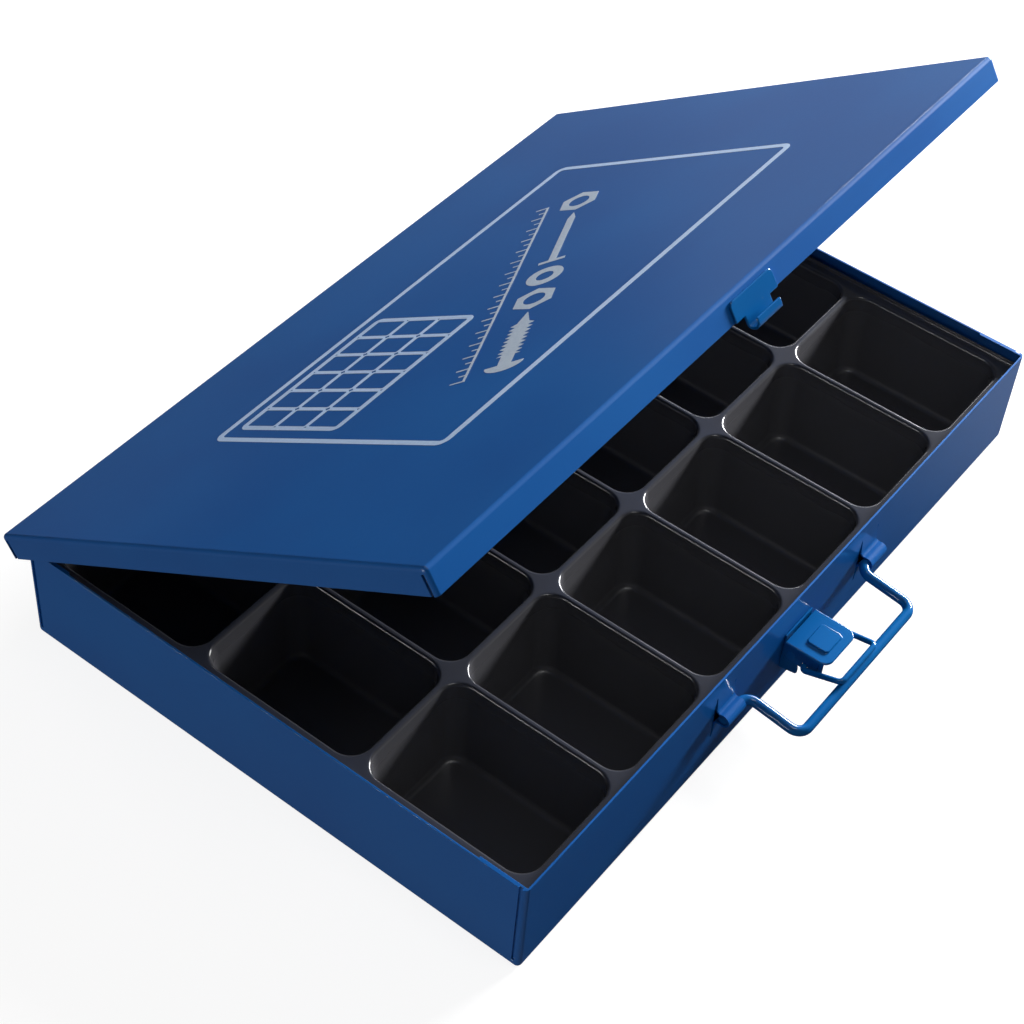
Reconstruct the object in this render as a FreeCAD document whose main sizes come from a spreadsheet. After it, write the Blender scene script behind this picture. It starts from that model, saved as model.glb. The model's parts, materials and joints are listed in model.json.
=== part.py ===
import FreeCAD, Part
import Sketcher
import math
import os

# Hinged sheet-metal organizer box with a thermoformed compartment tray.
# Frame: origin on the floor under the middle of the box, X along the front, Y to the back, Z up.
# The lid stands open, the carry handle hangs forward and the wire loop rests on its grip.

doc = FreeCAD.newDocument("organizer_box")
sheet = doc.addObject("Spreadsheet::Sheet", "sizes")


class Size:
    """A value that carries the sheet expression it comes from."""

    def __init__(self, text, value):
        self.text = text
        self.value = float(value)

    def combine(self, other, sign, result):
        return Size("(%s %s %s)" % (self.text, sign, other.text), result)

    def __add__(self, other):
        other = as_size(other)
        return self.combine(other, "+", self.value + other.value)

    def __sub__(self, other):
        other = as_size(other)
        return self.combine(other, "-", self.value - other.value)

    def __mul__(self, other):
        other = as_size(other)
        return self.combine(other, "*", self.value * other.value)

    def __truediv__(self, other):
        other = as_size(other)
        return self.combine(other, "/", self.value / other.value)

    def __radd__(self, other):
        return as_size(other) + self

    def __rsub__(self, other):
        return as_size(other) - self

    def __rmul__(self, other):
        return as_size(other) * self

    def __neg__(self):
        return as_size(0) - self


def as_size(number):
    """Wrap a plain number, and leave a Size as it is."""
    if isinstance(number, Size):
        return number
    return Size(repr(float(number)), number)


def root(inner):
    return Size("sqrt(%s)" % inner.text, math.sqrt(inner.value))


def sine(angle):
    return Size("sin(%s)" % angle.text, math.sin(math.radians(angle.value)))


def cosine(angle):
    return Size("cos(%s)" % angle.text, math.cos(math.radians(angle.value)))


def slope_angle(rise, run):
    """Angle in degrees whose tangent is rise over run."""
    text = "(atan(%s / %s) / 1deg)" % (rise.text, run.text)
    return Size(text, math.degrees(math.atan(rise.value / run.value)))


def arc_sine(ratio):
    return Size("(asin(%s) / 1deg)" % ratio.text, math.degrees(math.asin(ratio.value)))


row = 0


def size(alias, number, meaning):
    """Write one driving dimension into the sheet and hand it back."""
    global row
    row = row + 1
    sheet.set("A%d" % row, meaning)
    sheet.set("B%d" % row, str(number))
    sheet.setAlias("B%d" % row, alias)
    return Size("sizes." + alias, number)


# Box and sheet metal
box_width = size("box_width", 330, "outer width of the base pan")
box_depth = size("box_depth", 225, "outer depth of the base pan")
wall_height = size("wall_height", 46, "height of the base pan")
steel = size("steel", 0.8, "thickness of the steel sheet of base and lid")
bend = size("bend", 2, "outer radius of the base pan's bends")
lap_length = size("lap_length", 20, "length of the corner tabs lapped inside the side walls")
seam_width = size("seam_width", 1.2, "open seam beside each folded corner")
seam_foot = size("seam_foot", 1.5, "height of the seam's end above the floor bend")

# Lid
lid_gap = size("lid_gap", 0.6, "play between the lid's rim and the walls")
lid_bend = size("lid_bend", 1.6, "outer radius of the lid's bends")
lid_seat = size("lid_seat", 0.2, "play between the closed lid and the top of the walls")
rim_depth = size("rim_depth", 10.2, "depth of the lid's rim")
lid_angle = size("lid_angle", 33.1, "opening of the lid as modelled, in degrees")

# Hinges
hinge_back = size("hinge_back", 3, "distance of the hinge axis behind the back wall")
hinge_height = size("hinge_height", 28.5, "height of the hinge axis")
hinge_inset = size("hinge_inset", 60, "distance of each hinge's middle from the box's side")
hinge_length = size("hinge_length", 30, "length of a hinge")
hinge_steel = size("hinge_steel", 1, "thickness of the hinge leaves")
hinge_pin_radius = size("hinge_pin_radius", 1.65, "radius of the hinge pins")
knuckle_gap = size("knuckle_gap", 0.3, "play between knuckles, and from a knuckle to the wall")
base_leaf_drop = size("base_leaf_drop", 14.5, "reach of the base leaf below the axis")
lid_leaf_setback = size("lid_leaf_setback", 2, "distance of the lid leaf's end below the lid's top")
running = size("running", 0.08, "radial play of a pin that turns in its hole")

# Compartment tray
plastic = size("plastic", 1, "thickness of the tray's sheet")
tray_level = size("tray_level", 40, "height of the flat tops of the ribs")
tray_play = size("tray_play", 0.3, "play between the tray and the corner tabs")
tray_lip = size("tray_lip", 1.8, "upturned lip round the tray")
side_strip = size("side_strip", 5, "flat strip at the left and right of the pockets")
end_strip = size("end_strip", 4, "flat strip in front of and behind the pockets")
rib_width = size("rib_width", 3, "width between two pockets at the top")
columns = size("pocket_columns", 6, "pockets from left to right")
rows = size("pocket_rows", 3, "pockets from front to back")
pocket_corner = size("pocket_corner", 8.5, "corner radius of a pocket at the top")
pocket_draft = size("pocket_draft", 2.6, "inward lean of each pocket wall over its height")
floor_cove = size("floor_cove", 4, "size of the sloped cove round a pocket's floor")
mouth_ease = size("mouth_ease", 0.8, "width and depth of the eased edge round a pocket's mouth")

# Carry handle and the bridges pressed out of the front wall
wire_radius = size("wire_radius", 2, "radius of the handle's wire")
wire_standoff = size("wire_standoff", 1.2, "gap between the handle's stubs and the front wall")
handle_height = size("handle_height", 26.7, "height of the handle's axis")
arm_place = size("arm_place", 38.8, "distance of each handle arm from the middle")
grip_reach = size("grip_reach", 24, "distance of the grip from the handle's axis")
handle_bend = size("handle_bend", 4.8, "bend radius of the handle's wire, at its middle")
handle_droop = size("handle_droop", 8, "fall of the handle below level, in degrees")
bridge_width = size("bridge_width", 11, "width of a wall bridge")
bridge_rise = size("bridge_rise", 10.3, "reach of a wall bridge above the handle's axis")
bridge_drop = size("bridge_drop", 11.7, "reach of a wall bridge below the handle's axis")
neck_radius = size("neck_radius", 1.5, "radius of the hollow bends beside a bridge's nose")
neck_lift = size("neck_lift", 0.6, "distance of a bridge's hollow bends in front of the wall")
bridge_slit = size("bridge_slit", 0.4, "width of the slit on each side of a wall bridge")
wire_play = size("wire_play", 0.1, "radial play of the wire inside a bridge")
stub_setback = size("stub_setback", 0.6, "distance of the wire's end inside the bridge's outer side")

# Latch
latch_steel = size("latch_steel", 0.8, "thickness of the latch's sheet")
latch_out = size("latch_out", 4.6, "distance of the lever's pivot in front of the wall")
latch_height = size("latch_height", 23.5, "height of the lever's pivot")
latch_pin_radius = size("latch_pin_radius", 1.3, "radius of the lever's pivot pin")
pin_head_radius = size("pin_head_radius", 2.1, "radius of the pivot pin's heads")
pin_head_height = size("pin_head_height", 0.35, "height of the pivot pin's heads")
pin_head_gap = size("pin_head_gap", 0.15, "play between a pin head and the lever")
lever_width = size("lever_width", 21, "outer width of the lever")
lever_rise = size("lever_rise", 5, "height of the lever's top above its pivot")
lever_back = size("lever_back", 3.3, "reach of the lever behind its pivot")
lever_reach = size("lever_reach", 14.9, "reach of the lever in front of its pivot")
lever_nose = size("lever_nose", 2, "reach of the lever's top plate past its side flanges")
flange_drop = size("flange_drop", 3.2, "reach of the side flanges below the pivot")
flange_corner = size("flange_corner", 2.5, "radius of a flange's front corner")
lever_corner = size("lever_corner", 4, "radius of the lever's front corners")
lever_bend = size("lever_bend", 0.7, "outer radius of the lever's bends")
pad_width = size("pad_width", 11, "width of the raised pad on the lever")
pad_length = size("pad_length", 9, "length of the raised pad on the lever")
pad_height = size("pad_height", 0.8, "height of the raised pad on the lever")
pad_corner = size("pad_corner", 1.5, "corner radius of the raised pad")
pad_setback = size("pad_setback", 3.4, "distance of the raised pad from the lever's front edge")
loop_out = size("loop_out", 6, "distance of the loop's pivot in front of the lever's pivot")
loop_drop = size("loop_drop", 1.2, "distance of the loop's pivot below the lever's pivot")
loop_wire = size("loop_wire", 1.1, "radius of the loop's wire")
loop_side_gap = size("loop_side_gap", 0.7, "gap between a pin head and the loop's arm at its pivot")
loop_taper = size("loop_taper", 1.2, "inward lean of each loop arm over its length")
loop_bend = size("loop_bend", 2.1, "bend radius of the loop's wire, at its middle")
bracket_gap = size("bracket_gap", 0.9, "gap between the bracket's ears and the lever's flanges")
bracket_foot = size("bracket_foot", 11.5, "reach of the bracket below the lever's pivot")
bracket_top = size("bracket_top", 6.5, "reach of the bracket above the lever's pivot")
ear_wall = size("ear_wall", 0.9, "metal between the pivot hole and the ear's front edge")
ear_clearance = size("ear_clearance", 0.5, "gap between the ears and the lever's top plate")
finger_reach = size("finger_reach", 0.7, "reach of the ears' lower finger past their front edge")
finger_height = size("finger_height", 3, "height of the ears' lower finger")
finger_slope = size("finger_slope", 1.2, "rise of the ears' lower edge towards the finger")
finger_blend = size("finger_blend", 3, "height over which the finger runs back into the ear")

# Hook plate on the lid
hook_steel = size("hook_steel", 1, "thickness of the hook plate")
hook_width = size("hook_width", 24.8, "width of the hook plate on the rim")
hook_height = size("hook_height", 7.5, "height of the hook plate on the rim")
hook_corner = size("hook_corner", 2, "radius of the hook plate's top corners")
neck_width = size("neck_width", 14.8, "width of the hook's neck")
lip_width = size("lip_width", 13.8, "width of the hook's lip")
trough_drop = size("trough_drop", 4.2, "depth of the hook's trough below the lid's rim")
lip_rise = size("lip_rise", 3.2, "height of the hook's lip above the trough's floor")
bar_gap = size("bar_gap", 0.5, "gap between the loop's bar and the trough's sides")
rest_gap = size("rest_gap", 0.3, "gap between the loop's bar and what it lies on")


# How far a cutting outline reaches past the metal that it cuts
overcut = 1

# Places that several pieces share
front = -box_depth / 2
back = box_depth / 2
hinge_y = back + hinge_back
hinge_place = box_width / 2 - hinge_inset
knuckle_radius = hinge_back - knuckle_gap
middle_knuckle = hinge_length / 3
handle_out = wire_standoff + wire_radius
latch_half = lever_width / 2
bracket_half = latch_half - latch_steel - bracket_gap
loop_foot = latch_half + pin_head_gap + pin_head_height + loop_side_gap + loop_wire
loop_stub = latch_half - latch_steel - bracket_gap / 2
loop_head = loop_foot - loop_taper
bridge_inner = arm_place + handle_bend - stub_setback
bridge_outer = bridge_inner + bridge_width

# The closed lid, measured from the hinge axis
lid_front = -(box_depth + hinge_back) - lid_gap - steel
lid_back = -hinge_back + lid_gap + steel
lid_half = box_width / 2 + lid_gap + steel
lid_top = wall_height + lid_seat + steel - hinge_height
rim_foot = lid_top - rim_depth
trough_floor = rim_foot - trough_drop
trough_width = 2 * (loop_wire + bar_gap)

# The loop is as long as the closed latch needs: from its pivot, with the lever down, to the trough
closed_pivot_out = latch_out - loop_drop
closed_pivot_height = latch_height - loop_out
closed_bar_out = lid_gap + steel + hook_steel + trough_width / 2
closed_bar_height = trough_floor + hinge_height + loop_wire + rest_gap
closed_run = closed_bar_height - closed_pivot_height
closed_lean = closed_bar_out - closed_pivot_out
loop_reach = root(closed_run * closed_run + closed_lean * closed_lean)

# The open loop lies on the grip: its plane passes just over the wire
grip_ahead = handle_out + grip_reach * cosine(handle_droop) - latch_out - loop_out
grip_above = handle_height - grip_reach * sine(handle_droop) - latch_height + loop_drop
grip_distance = root(grip_ahead * grip_ahead + grip_above * grip_above)
loop_lift = arc_sine((wire_radius + loop_wire + rest_gap) / grip_distance)
loop_angle = slope_angle(grip_above, grip_ahead) + loop_lift


def bind(item, path, amount):
    """Tie a property of a document object to a sheet expression."""
    item.setExpression(path, as_size(amount).text)


def new_body(label):
    body = doc.addObject("PartDesign::Body", label)
    body.Label = label
    return body


def place(body, across=0, along=0, up=0, turn=0):
    """Put a body at a point and turn it about the -X axis, which lifts what points forward."""
    across, along, up, turn = as_size(across), as_size(along), as_size(up), as_size(turn)
    point = FreeCAD.Vector(across.value, along.value, up.value)
    body.Placement = FreeCAD.Placement(point, FreeCAD.Rotation(FreeCAD.Vector(-1, 0, 0), turn.value))
    bind(body, "Placement.Base.x", across)
    bind(body, "Placement.Base.y", along)
    bind(body, "Placement.Base.z", up)
    bind(body, "Placement.Rotation.Angle", turn)


def origin_part(body, role):
    """A plane or axis of the body's own origin, such as XY_Plane or X_Axis."""
    for feature in body.Origin.OriginFeatures:
        if feature.Role == role:
            return feature
    raise ValueError(role)


def new_sketch(body, name, role, offset=0):
    """An empty sketch on one of the body's origin planes, moved along the plane's normal."""
    sketch = body.newObject("Sketcher::SketchObject", name)
    sketch.AttachmentSupport = [(origin_part(body, role), "")]
    sketch.MapMode = "FlatFace"
    bind(sketch, "AttachmentOffset.Base.z", offset)
    return sketch


def pin_point(sketch, geometry, end, across, up):
    """Dimension one point of the sketch from the sketch's origin."""
    for kind, amount in (("DistanceX", across), ("DistanceY", up)):
        amount = as_size(amount)
        index = sketch.addConstraint(Sketcher.Constraint(kind, -1, 1, geometry, end, amount.value))
        bind(sketch, "Constraints[%d]" % index, amount)


def hold_across(sketch, geometry, end, across):
    """Dimension one point of the sketch across only, and leave its height to the tangents."""
    index = sketch.addConstraint(Sketcher.Constraint("DistanceX", -1, 1, geometry, end, across.value))
    bind(sketch, "Constraints[%d]" % index, across)


def set_radius(sketch, geometry, amount):
    index = sketch.addConstraint(Sketcher.Constraint("Radius", geometry, amount.value))
    bind(sketch, "Constraints[%d]" % index, amount)


def circle(sketch, across, up, radius):
    centre = FreeCAD.Vector(as_size(across).value, as_size(up).value, 0)
    normal = FreeCAD.Vector(0, 0, 1)
    index = sketch.addGeometry(Part.Circle(centre, normal, radius.value))
    pin_point(sketch, index, 3, across, up)
    set_radius(sketch, index, radius)


def tangent_points(before, corner, after, radius):
    """Where an arc of this radius touches the two runs that meet in a corner."""
    incoming = (before - corner).normalize()
    outgoing = (after - corner).normalize()
    half_angle = incoming.getAngle(outgoing) / 2
    setback = radius / math.tan(half_angle)
    middle = (incoming + outgoing).normalize()
    centre = corner + middle * (radius / math.sin(half_angle))
    return corner + incoming * setback, corner + outgoing * setback, centre


def outline(sketch, corners, closed=True):
    """Draw lines through corners of (across, up) or (across, up, radius), rounded by tangent arcs."""
    points = [FreeCAD.Vector(as_size(c[0]).value, as_size(c[1]).value, 0) for c in corners]
    count = len(corners)
    starts, ends, centres = list(points), list(points), {}
    for i, corner in enumerate(corners):
        if len(corner) == 3:
            before, after = points[i - 1], points[(i + 1) % count]
            touch_in, touch_out, centres[i] = tangent_points(before, points[i], after, corner[2].value)
            ends[i], starts[i] = touch_in, touch_out
    lines = {}
    for i in range(count if closed else count - 1):
        lines[i] = sketch.addGeometry(Part.LineSegment(starts[i], ends[(i + 1) % count]))
    for i, corner in enumerate(corners):
        if i in centres:
            round_corner(sketch, lines[(i - 1) % count], lines[i], ends[i], starts[i], centres[i], corner)
        elif not closed and i == 0:
            pin_point(sketch, lines[0], 1, corner[0], corner[1])
        else:
            incoming = lines[(i - 1) % count]
            if closed or i < count - 1:
                sketch.addConstraint(Sketcher.Constraint("Coincident", incoming, 2, lines[i], 1))
            pin_point(sketch, incoming, 2, corner[0], corner[1])


def round_corner(sketch, incoming, outgoing, touch_in, touch_out, centre, corner):
    """Join two lines by a tangent arc, and keep the corner they would have met in."""
    arm_in, arm_out = touch_in - centre, touch_out - centre
    angle_in, angle_out = math.atan2(arm_in.y, arm_in.x), math.atan2(arm_out.y, arm_out.x)
    turns_left = arm_in.cross(arm_out).z > 0
    first, last = (angle_in, angle_out) if turns_left else (angle_out, angle_in)
    end_in, end_out = (1, 2) if turns_left else (2, 1)
    ring = Part.Circle(centre, FreeCAD.Vector(0, 0, 1), corner[2].value)
    arc = sketch.addGeometry(Part.ArcOfCircle(ring, first, last))
    mark = sketch.addGeometry(Part.Point(touch_in), True)
    sketch.addConstraint(Sketcher.Constraint("Tangent", incoming, 2, arc, end_in))
    sketch.addConstraint(Sketcher.Constraint("Tangent", outgoing, 1, arc, end_out))
    set_radius(sketch, arc, corner[2])
    sketch.addConstraint(Sketcher.Constraint("PointOnObject", mark, 1, incoming))
    sketch.addConstraint(Sketcher.Constraint("PointOnObject", mark, 1, outgoing))
    pin_point(sketch, mark, 1, corner[0], corner[1])


def rectangle(sketch, left, right, low, high, radius=None):
    corners = [(left, low), (right, low), (right, high), (left, high)]
    if radius is not None:
        corners = [corner + (radius,) for corner in corners]
    outline(sketch, corners)


def pad(body, name, sketch, length, both_ways=False, reverse=False):
    feature = body.newObject("PartDesign::Pad", name)
    feature.Profile = sketch
    feature.Midplane = both_ways
    feature.Reversed = reverse
    bind(feature, "Length", length)
    return feature


def pocket(body, name, sketch, length, both_ways=False, reverse=False):
    feature = body.newObject("PartDesign::Pocket", name)
    feature.Profile = sketch
    feature.Midplane = both_ways
    feature.Reversed = reverse
    bind(feature, "Length", length)
    return feature


def cut_volume(body, feature):
    """Check that a cutting feature took material away."""
    doc.recompute()
    if feature.Shape.Volume >= feature.BaseFeature.Shape.Volume:
        raise ValueError(body.Label + ": " + feature.Name + " cuts nothing")


def edges_where(feature, test):
    """Names of the feature's edges whose bounding box passes a test."""
    doc.recompute()
    names = []
    for number, edge in enumerate(feature.Shape.Edges):
        if test(edge.BoundBox):
            names.append("Edge%d" % (number + 1))
    if not names:
        raise ValueError(feature.Name + ": no edge found")
    return names


def face_at_height(feature, height):
    """Name of the flat face that lies at a height."""
    doc.recompute()
    for number, face in enumerate(feature.Shape.Faces):
        box = face.BoundBox
        if abs(box.ZMin - height) < 1e-6 and abs(box.ZMax - height) < 1e-6:
            return "Face%d" % (number + 1)
    raise ValueError(feature.Name + ": no face found")


def fillet(body, name, base, edges, radius):
    feature = body.newObject("PartDesign::Fillet", name)
    feature.Base = (base, edges)
    bind(feature, "Radius", radius)
    doc.recompute()
    return feature


def mirror_left_right(body, name, features):
    """Repeat features on the other side of the middle."""
    feature = body.newObject("PartDesign::Mirrored", name)
    feature.Originals = features
    feature.MirrorPlane = (origin_part(body, "YZ_Plane"), [""])
    body.Tip = feature
    return feature


def flat(box, low, high):
    """Whether an edge's box lies flat at one of two heights."""
    return box.ZLength < 1e-6 and (abs(box.ZMin - low) < 1e-6 or abs(box.ZMin - high) < 1e-6)


def shell(body, block, open_height, bent_height, radius):
    """Round a block's bends, then hollow it to the sheet's thickness through its open side."""

    def is_bend(box):
        upright = box.XLength < 1e-6 and box.YLength < 1e-6
        return upright or flat(box, bent_height.value, bent_height.value)

    rounded = fillet(body, "bends", block, edges_where(block, is_bend), radius)
    hollow = body.newObject("PartDesign::Thickness", "sheet_thickness")
    hollow.Base = (rounded, [face_at_height(rounded, open_height.value)])
    hollow.Reversed = True
    hollow.Mode = 0
    hollow.Join = 0
    bind(hollow, "Value", steel)
    return hollow


def corner_seams(body, half, near, far, level, length, radius, upward):
    """Cut the open seam in both side walls beside each folded corner."""
    sketch = new_sketch(body, "seam_outline", "XY_Plane", level)
    for low in (near + radius, far - radius - seam_width):
        rectangle(sketch, half - steel, half + steel, low, low + seam_width)
    seams = pocket(body, "seams", sketch, length, reverse=upward)
    cut_volume(body, seams)
    mirror_left_right(body, "seams_left", [seams])


def bridge_profile(sketch, wall_y):
    """Band out of the wall: a slight ramp, a hollow bend, the nose over the wire, and back the same way."""
    axis = FreeCAD.Vector((wall_y - handle_out).value, handle_height.value, 0)
    neck_y = wall_y - neck_lift - neck_radius
    top = handle_height + bridge_rise
    foot = handle_height - bridge_drop
    nose = wire_radius + wire_play + steel
    span = (nose + neck_radius).value
    lean = (neck_y - wall_y + handle_out).value
    climb = math.sqrt(span * span - lean * lean)
    skins = (wall_y, nose, neck_radius), (wall_y + steel, nose - steel, neck_radius + steel)
    ramps = []
    for face, nose_radius, hollow in skins:
        joints, lines = [], []
        for height, side in ((top, 1), (foot, -1)):
            centre = axis + FreeCAD.Vector(lean, side * climb, 0)
            end = FreeCAD.Vector(face.value, height.value, 0)
            touch = touching_point(end, centre, hollow.value, side)
            joint = centre + (axis - centre) * (hollow.value / span)
            line = sketch.addGeometry(Part.LineSegment(end, touch))
            marks = (joint, touch) if side > 0 else (touch, joint)
            neck = sketch.addGeometry(arc_between(centre, hollow.value, *marks))
            sketch.addConstraint(Sketcher.Constraint("Tangent", line, 2, neck, 2 if side > 0 else 1))
            set_radius(sketch, neck, hollow)
            pin_point(sketch, line, 1, face, height)
            hold_across(sketch, neck, 3, neck_y)
            joints.append((joint, neck))
            lines.append(line)
        (upper_joint, upper_neck), (lower_joint, lower_neck) = joints
        arc = sketch.addGeometry(arc_between(axis, nose_radius.value, upper_joint, lower_joint))
        set_radius(sketch, arc, nose_radius)
        pin_point(sketch, arc, 3, wall_y - handle_out, handle_height)
        sketch.addConstraint(Sketcher.Constraint("Tangent", upper_neck, 1, arc, 1))
        sketch.addConstraint(Sketcher.Constraint("Tangent", lower_neck, 2, arc, 2))
        ramps.append(lines)
    for outer_line, inner_line, height in zip(ramps[0], ramps[1], (top, foot)):
        outside = FreeCAD.Vector(wall_y.value, height.value, 0)
        inside = FreeCAD.Vector((wall_y + steel).value, height.value, 0)
        closing = sketch.addGeometry(Part.LineSegment(outside, inside))
        sketch.addConstraint(Sketcher.Constraint("Coincident", closing, 1, outer_line, 1))
        sketch.addConstraint(Sketcher.Constraint("Coincident", closing, 2, inner_line, 1))


def arc_between(centre, radius, start, end):
    """Arc about a centre, turning left from the direction of one point to that of another."""
    ring = Part.Circle(centre, FreeCAD.Vector(0, 0, 1), radius)
    first, last = (math.atan2(point.y - centre.y, point.x - centre.x) for point in (start, end))
    return Part.ArcOfCircle(ring, first, last)


def touching_point(point, centre, radius, side):
    """Where the tangent from a point meets a circle, on the chosen side of the line of centres."""
    reach = point - centre
    swing = side * math.acos(radius / reach.Length)
    angle = math.atan2(reach.y, reach.x) - swing
    return centre + FreeCAD.Vector(math.cos(angle), math.sin(angle), 0) * radius


def make_base_pan():
    """Folded pan with lapped corners and two bridges pressed out of its front wall."""
    body = new_body("base_pan")
    footprint = new_sketch(body, "footprint", "XY_Plane")
    rectangle(footprint, -box_width / 2, box_width / 2, front, back)
    block = pad(body, "block", footprint, wall_height)
    shell(body, block, wall_height, as_size(0), bend)

    tabs = new_sketch(body, "tab_outline", "XY_Plane", bend)
    inner_wall = box_width / 2 - steel
    rectangle(tabs, inner_wall - steel, inner_wall, front + steel, front + lap_length)
    rectangle(tabs, inner_wall - steel, inner_wall, back - lap_length, back - steel)
    tab_pad = pad(body, "corner_tabs", tabs, wall_height - bend)
    mirror_left_right(body, "corner_tabs_left", [tab_pad])

    seam_length = wall_height - bend - seam_foot
    corner_seams(body, box_width / 2, front, back, wall_height, seam_length, bend, False)

    windows = new_sketch(body, "window_outline", "XZ_Plane", -front)
    low, high = handle_height - bridge_drop, handle_height + bridge_rise
    rectangle(windows, bridge_inner - bridge_slit, bridge_outer + bridge_slit, low, high)
    window = pocket(body, "bridge_windows", windows, steel)
    cut_volume(body, window)
    band = new_sketch(body, "bridge_outline", "YZ_Plane", bridge_inner)
    bridge_profile(band, front)
    bridge = pad(body, "bridges", band, bridge_width)
    mirror_left_right(body, "left_bridge", [window, bridge])
    return body


def make_lid_pan():
    """Shallow folded lid whose rim fits over the walls, standing open about the hinge axis."""
    body = new_body("lid_pan")
    footprint = new_sketch(body, "footprint", "XY_Plane", rim_foot)
    rectangle(footprint, -lid_half, lid_half, lid_front, lid_back)
    block = pad(body, "block", footprint, rim_depth)
    shell(body, block, rim_foot, lid_top, lid_bend)
    seam_length = rim_depth - lid_bend - seam_foot / 2
    corner_seams(body, lid_half, lid_front, lid_back, rim_foot, seam_length, lid_bend, True)
    place(body, 0, hinge_y, hinge_height, lid_angle)
    return body


def pocket_sketch(body, name, height, half_width, half_depth, corner, across, along):
    sketch = new_sketch(body, name, "XY_Plane", height)
    left, right = across - half_width, across + half_width
    rectangle(sketch, left, right, along - half_depth, along + half_depth, corner)
    return sketch


def repeat_pockets(body, name, feature, pitch_across, pitch_along):
    """Repeat one pocket shape over the whole grid."""
    grid = body.newObject("PartDesign::MultiTransform", name)
    runs = []
    grid_runs = (("X_Axis", columns, pitch_across), ("Y_Axis", rows, pitch_along))
    for role, count, pitch in grid_runs:
        run = body.newObject("PartDesign::LinearPattern", name + "_" + role)
        run.Direction = (origin_part(body, role), [""])
        bind(run, "Length", pitch * (count - 1))
        bind(run, "Occurrences", count)
        runs.append(run)
    grid.Originals = [feature]
    grid.Transformations = runs
    body.Tip = grid
    return grid


def make_insert_tray():
    """Thermoformed tray: rim sheet, upturned lip and a grid of tapered pockets with coved floors."""
    body = new_body("insert_tray")
    half_x = box_width / 2 - 2 * steel - tray_play
    half_y = box_depth / 2 - steel - tray_play
    pocket_x = (2 * half_x - 2 * side_strip - rib_width * (columns - 1)) / columns
    pocket_y = (2 * half_y - 2 * end_strip - rib_width * (rows - 1)) / rows
    pitch_x, pitch_y = pocket_x + rib_width, pocket_y + rib_width
    first_x = -half_x + side_strip + pocket_x / 2
    first_y = -half_y + end_strip + pocket_y / 2

    rim = new_sketch(body, "rim_outline", "XY_Plane", tray_level - plastic)
    rectangle(rim, -half_x, half_x, -half_y, half_y, bend)
    pad(body, "rim_sheet", rim, plastic)
    lip = new_sketch(body, "lip_outline", "XY_Plane", tray_level)
    rectangle(lip, -half_x, half_x, -half_y, half_y, bend)
    inner_x, inner_y = half_x - plastic, half_y - plastic
    rectangle(lip, -inner_x, inner_x, -inner_y, inner_y, bend - plastic / 2)
    pad(body, "lip", lip, tray_lip)

    def sections(prefix, steps, wall):
        """Outlines of a pocket at steps of (name, height, inset), from its mouth to its floor."""
        made = []
        for name, height, inset in steps:
            half_w, half_d = pocket_x / 2 + wall - inset, pocket_y / 2 + wall - inset
            corner = pocket_corner + wall - inset / 2
            made.append(pocket_sketch(body, prefix + name, height, half_w, half_d, corner,
                                      first_x, first_y))
        return made

    def lower_steps(floor):
        return [("cove", floor + floor_cove, pocket_draft), ("floor", floor, pocket_draft + floor_cove)]

    pod_top = [("mouth", tray_level - plastic / 2, as_size(0))]
    outer = sections("pod_", pod_top + lower_steps(steel), plastic)
    pod = body.newObject("PartDesign::AdditiveLoft", "pod")
    pod.Profile = outer[0]
    pod.Sections = outer[1:]
    pod.Ruled = True
    repeat_pockets(body, "pods", pod, pitch_x, pitch_y)

    pocket_top = [("mouth", tray_level, -mouth_ease), ("eased", tray_level - mouth_ease, as_size(0))]
    inner = sections("pocket_", pocket_top + lower_steps(steel + plastic), as_size(0))
    hole = body.newObject("PartDesign::SubtractiveLoft", "pocket")
    hole.Profile = inner[0]
    hole.Sections = inner[1:]
    hole.Ruled = True
    repeat_pockets(body, "pockets", hole, pitch_x, pitch_y)
    return body


def wire_pipe(body, start, corners, radius):
    """Sweep a round wire along a flat path that starts square to the YZ plane."""
    path = new_sketch(body, "wire_path", "XY_Plane")
    outline(path, corners, closed=False)
    section = new_sketch(body, "wire_section", "YZ_Plane", start)
    circle(section, 0, 0, radius)
    doc.recompute()
    pipe = body.newObject("PartDesign::AdditivePipe", "wire")
    pipe.Profile = section
    pipe.Spine = (path, ["Edge%d" % (n + 1) for n in range(len(path.Shape.Edges))])


def make_carry_handle():
    """Bent wire handle whose stubs turn inside the wall bridges."""
    body = new_body("carry_handle")
    stub = bridge_outer - stub_setback
    corners = [(-stub, 0), (-arm_place, 0, handle_bend), (-arm_place, -grip_reach, handle_bend),
               (arm_place, -grip_reach, handle_bend), (arm_place, 0, handle_bend), (stub, 0)]
    wire_pipe(body, -stub, corners, wire_radius)
    place(body, 0, front - handle_out, handle_height, -handle_droop)
    return body


def make_latch_loop():
    """Bent wire loop whose short stubs turn in the lever's flanges."""
    body = new_body("latch_loop")
    corners = [(-loop_stub, 0), (-loop_foot, 0, loop_bend), (-loop_head, -loop_reach, loop_bend),
               (loop_head, -loop_reach, loop_bend), (loop_foot, 0, loop_bend), (loop_stub, 0)]
    wire_pipe(body, -loop_stub, corners, loop_wire)
    place(body, 0, front - latch_out - loop_out, latch_height - loop_drop, loop_angle)
    return body


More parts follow.
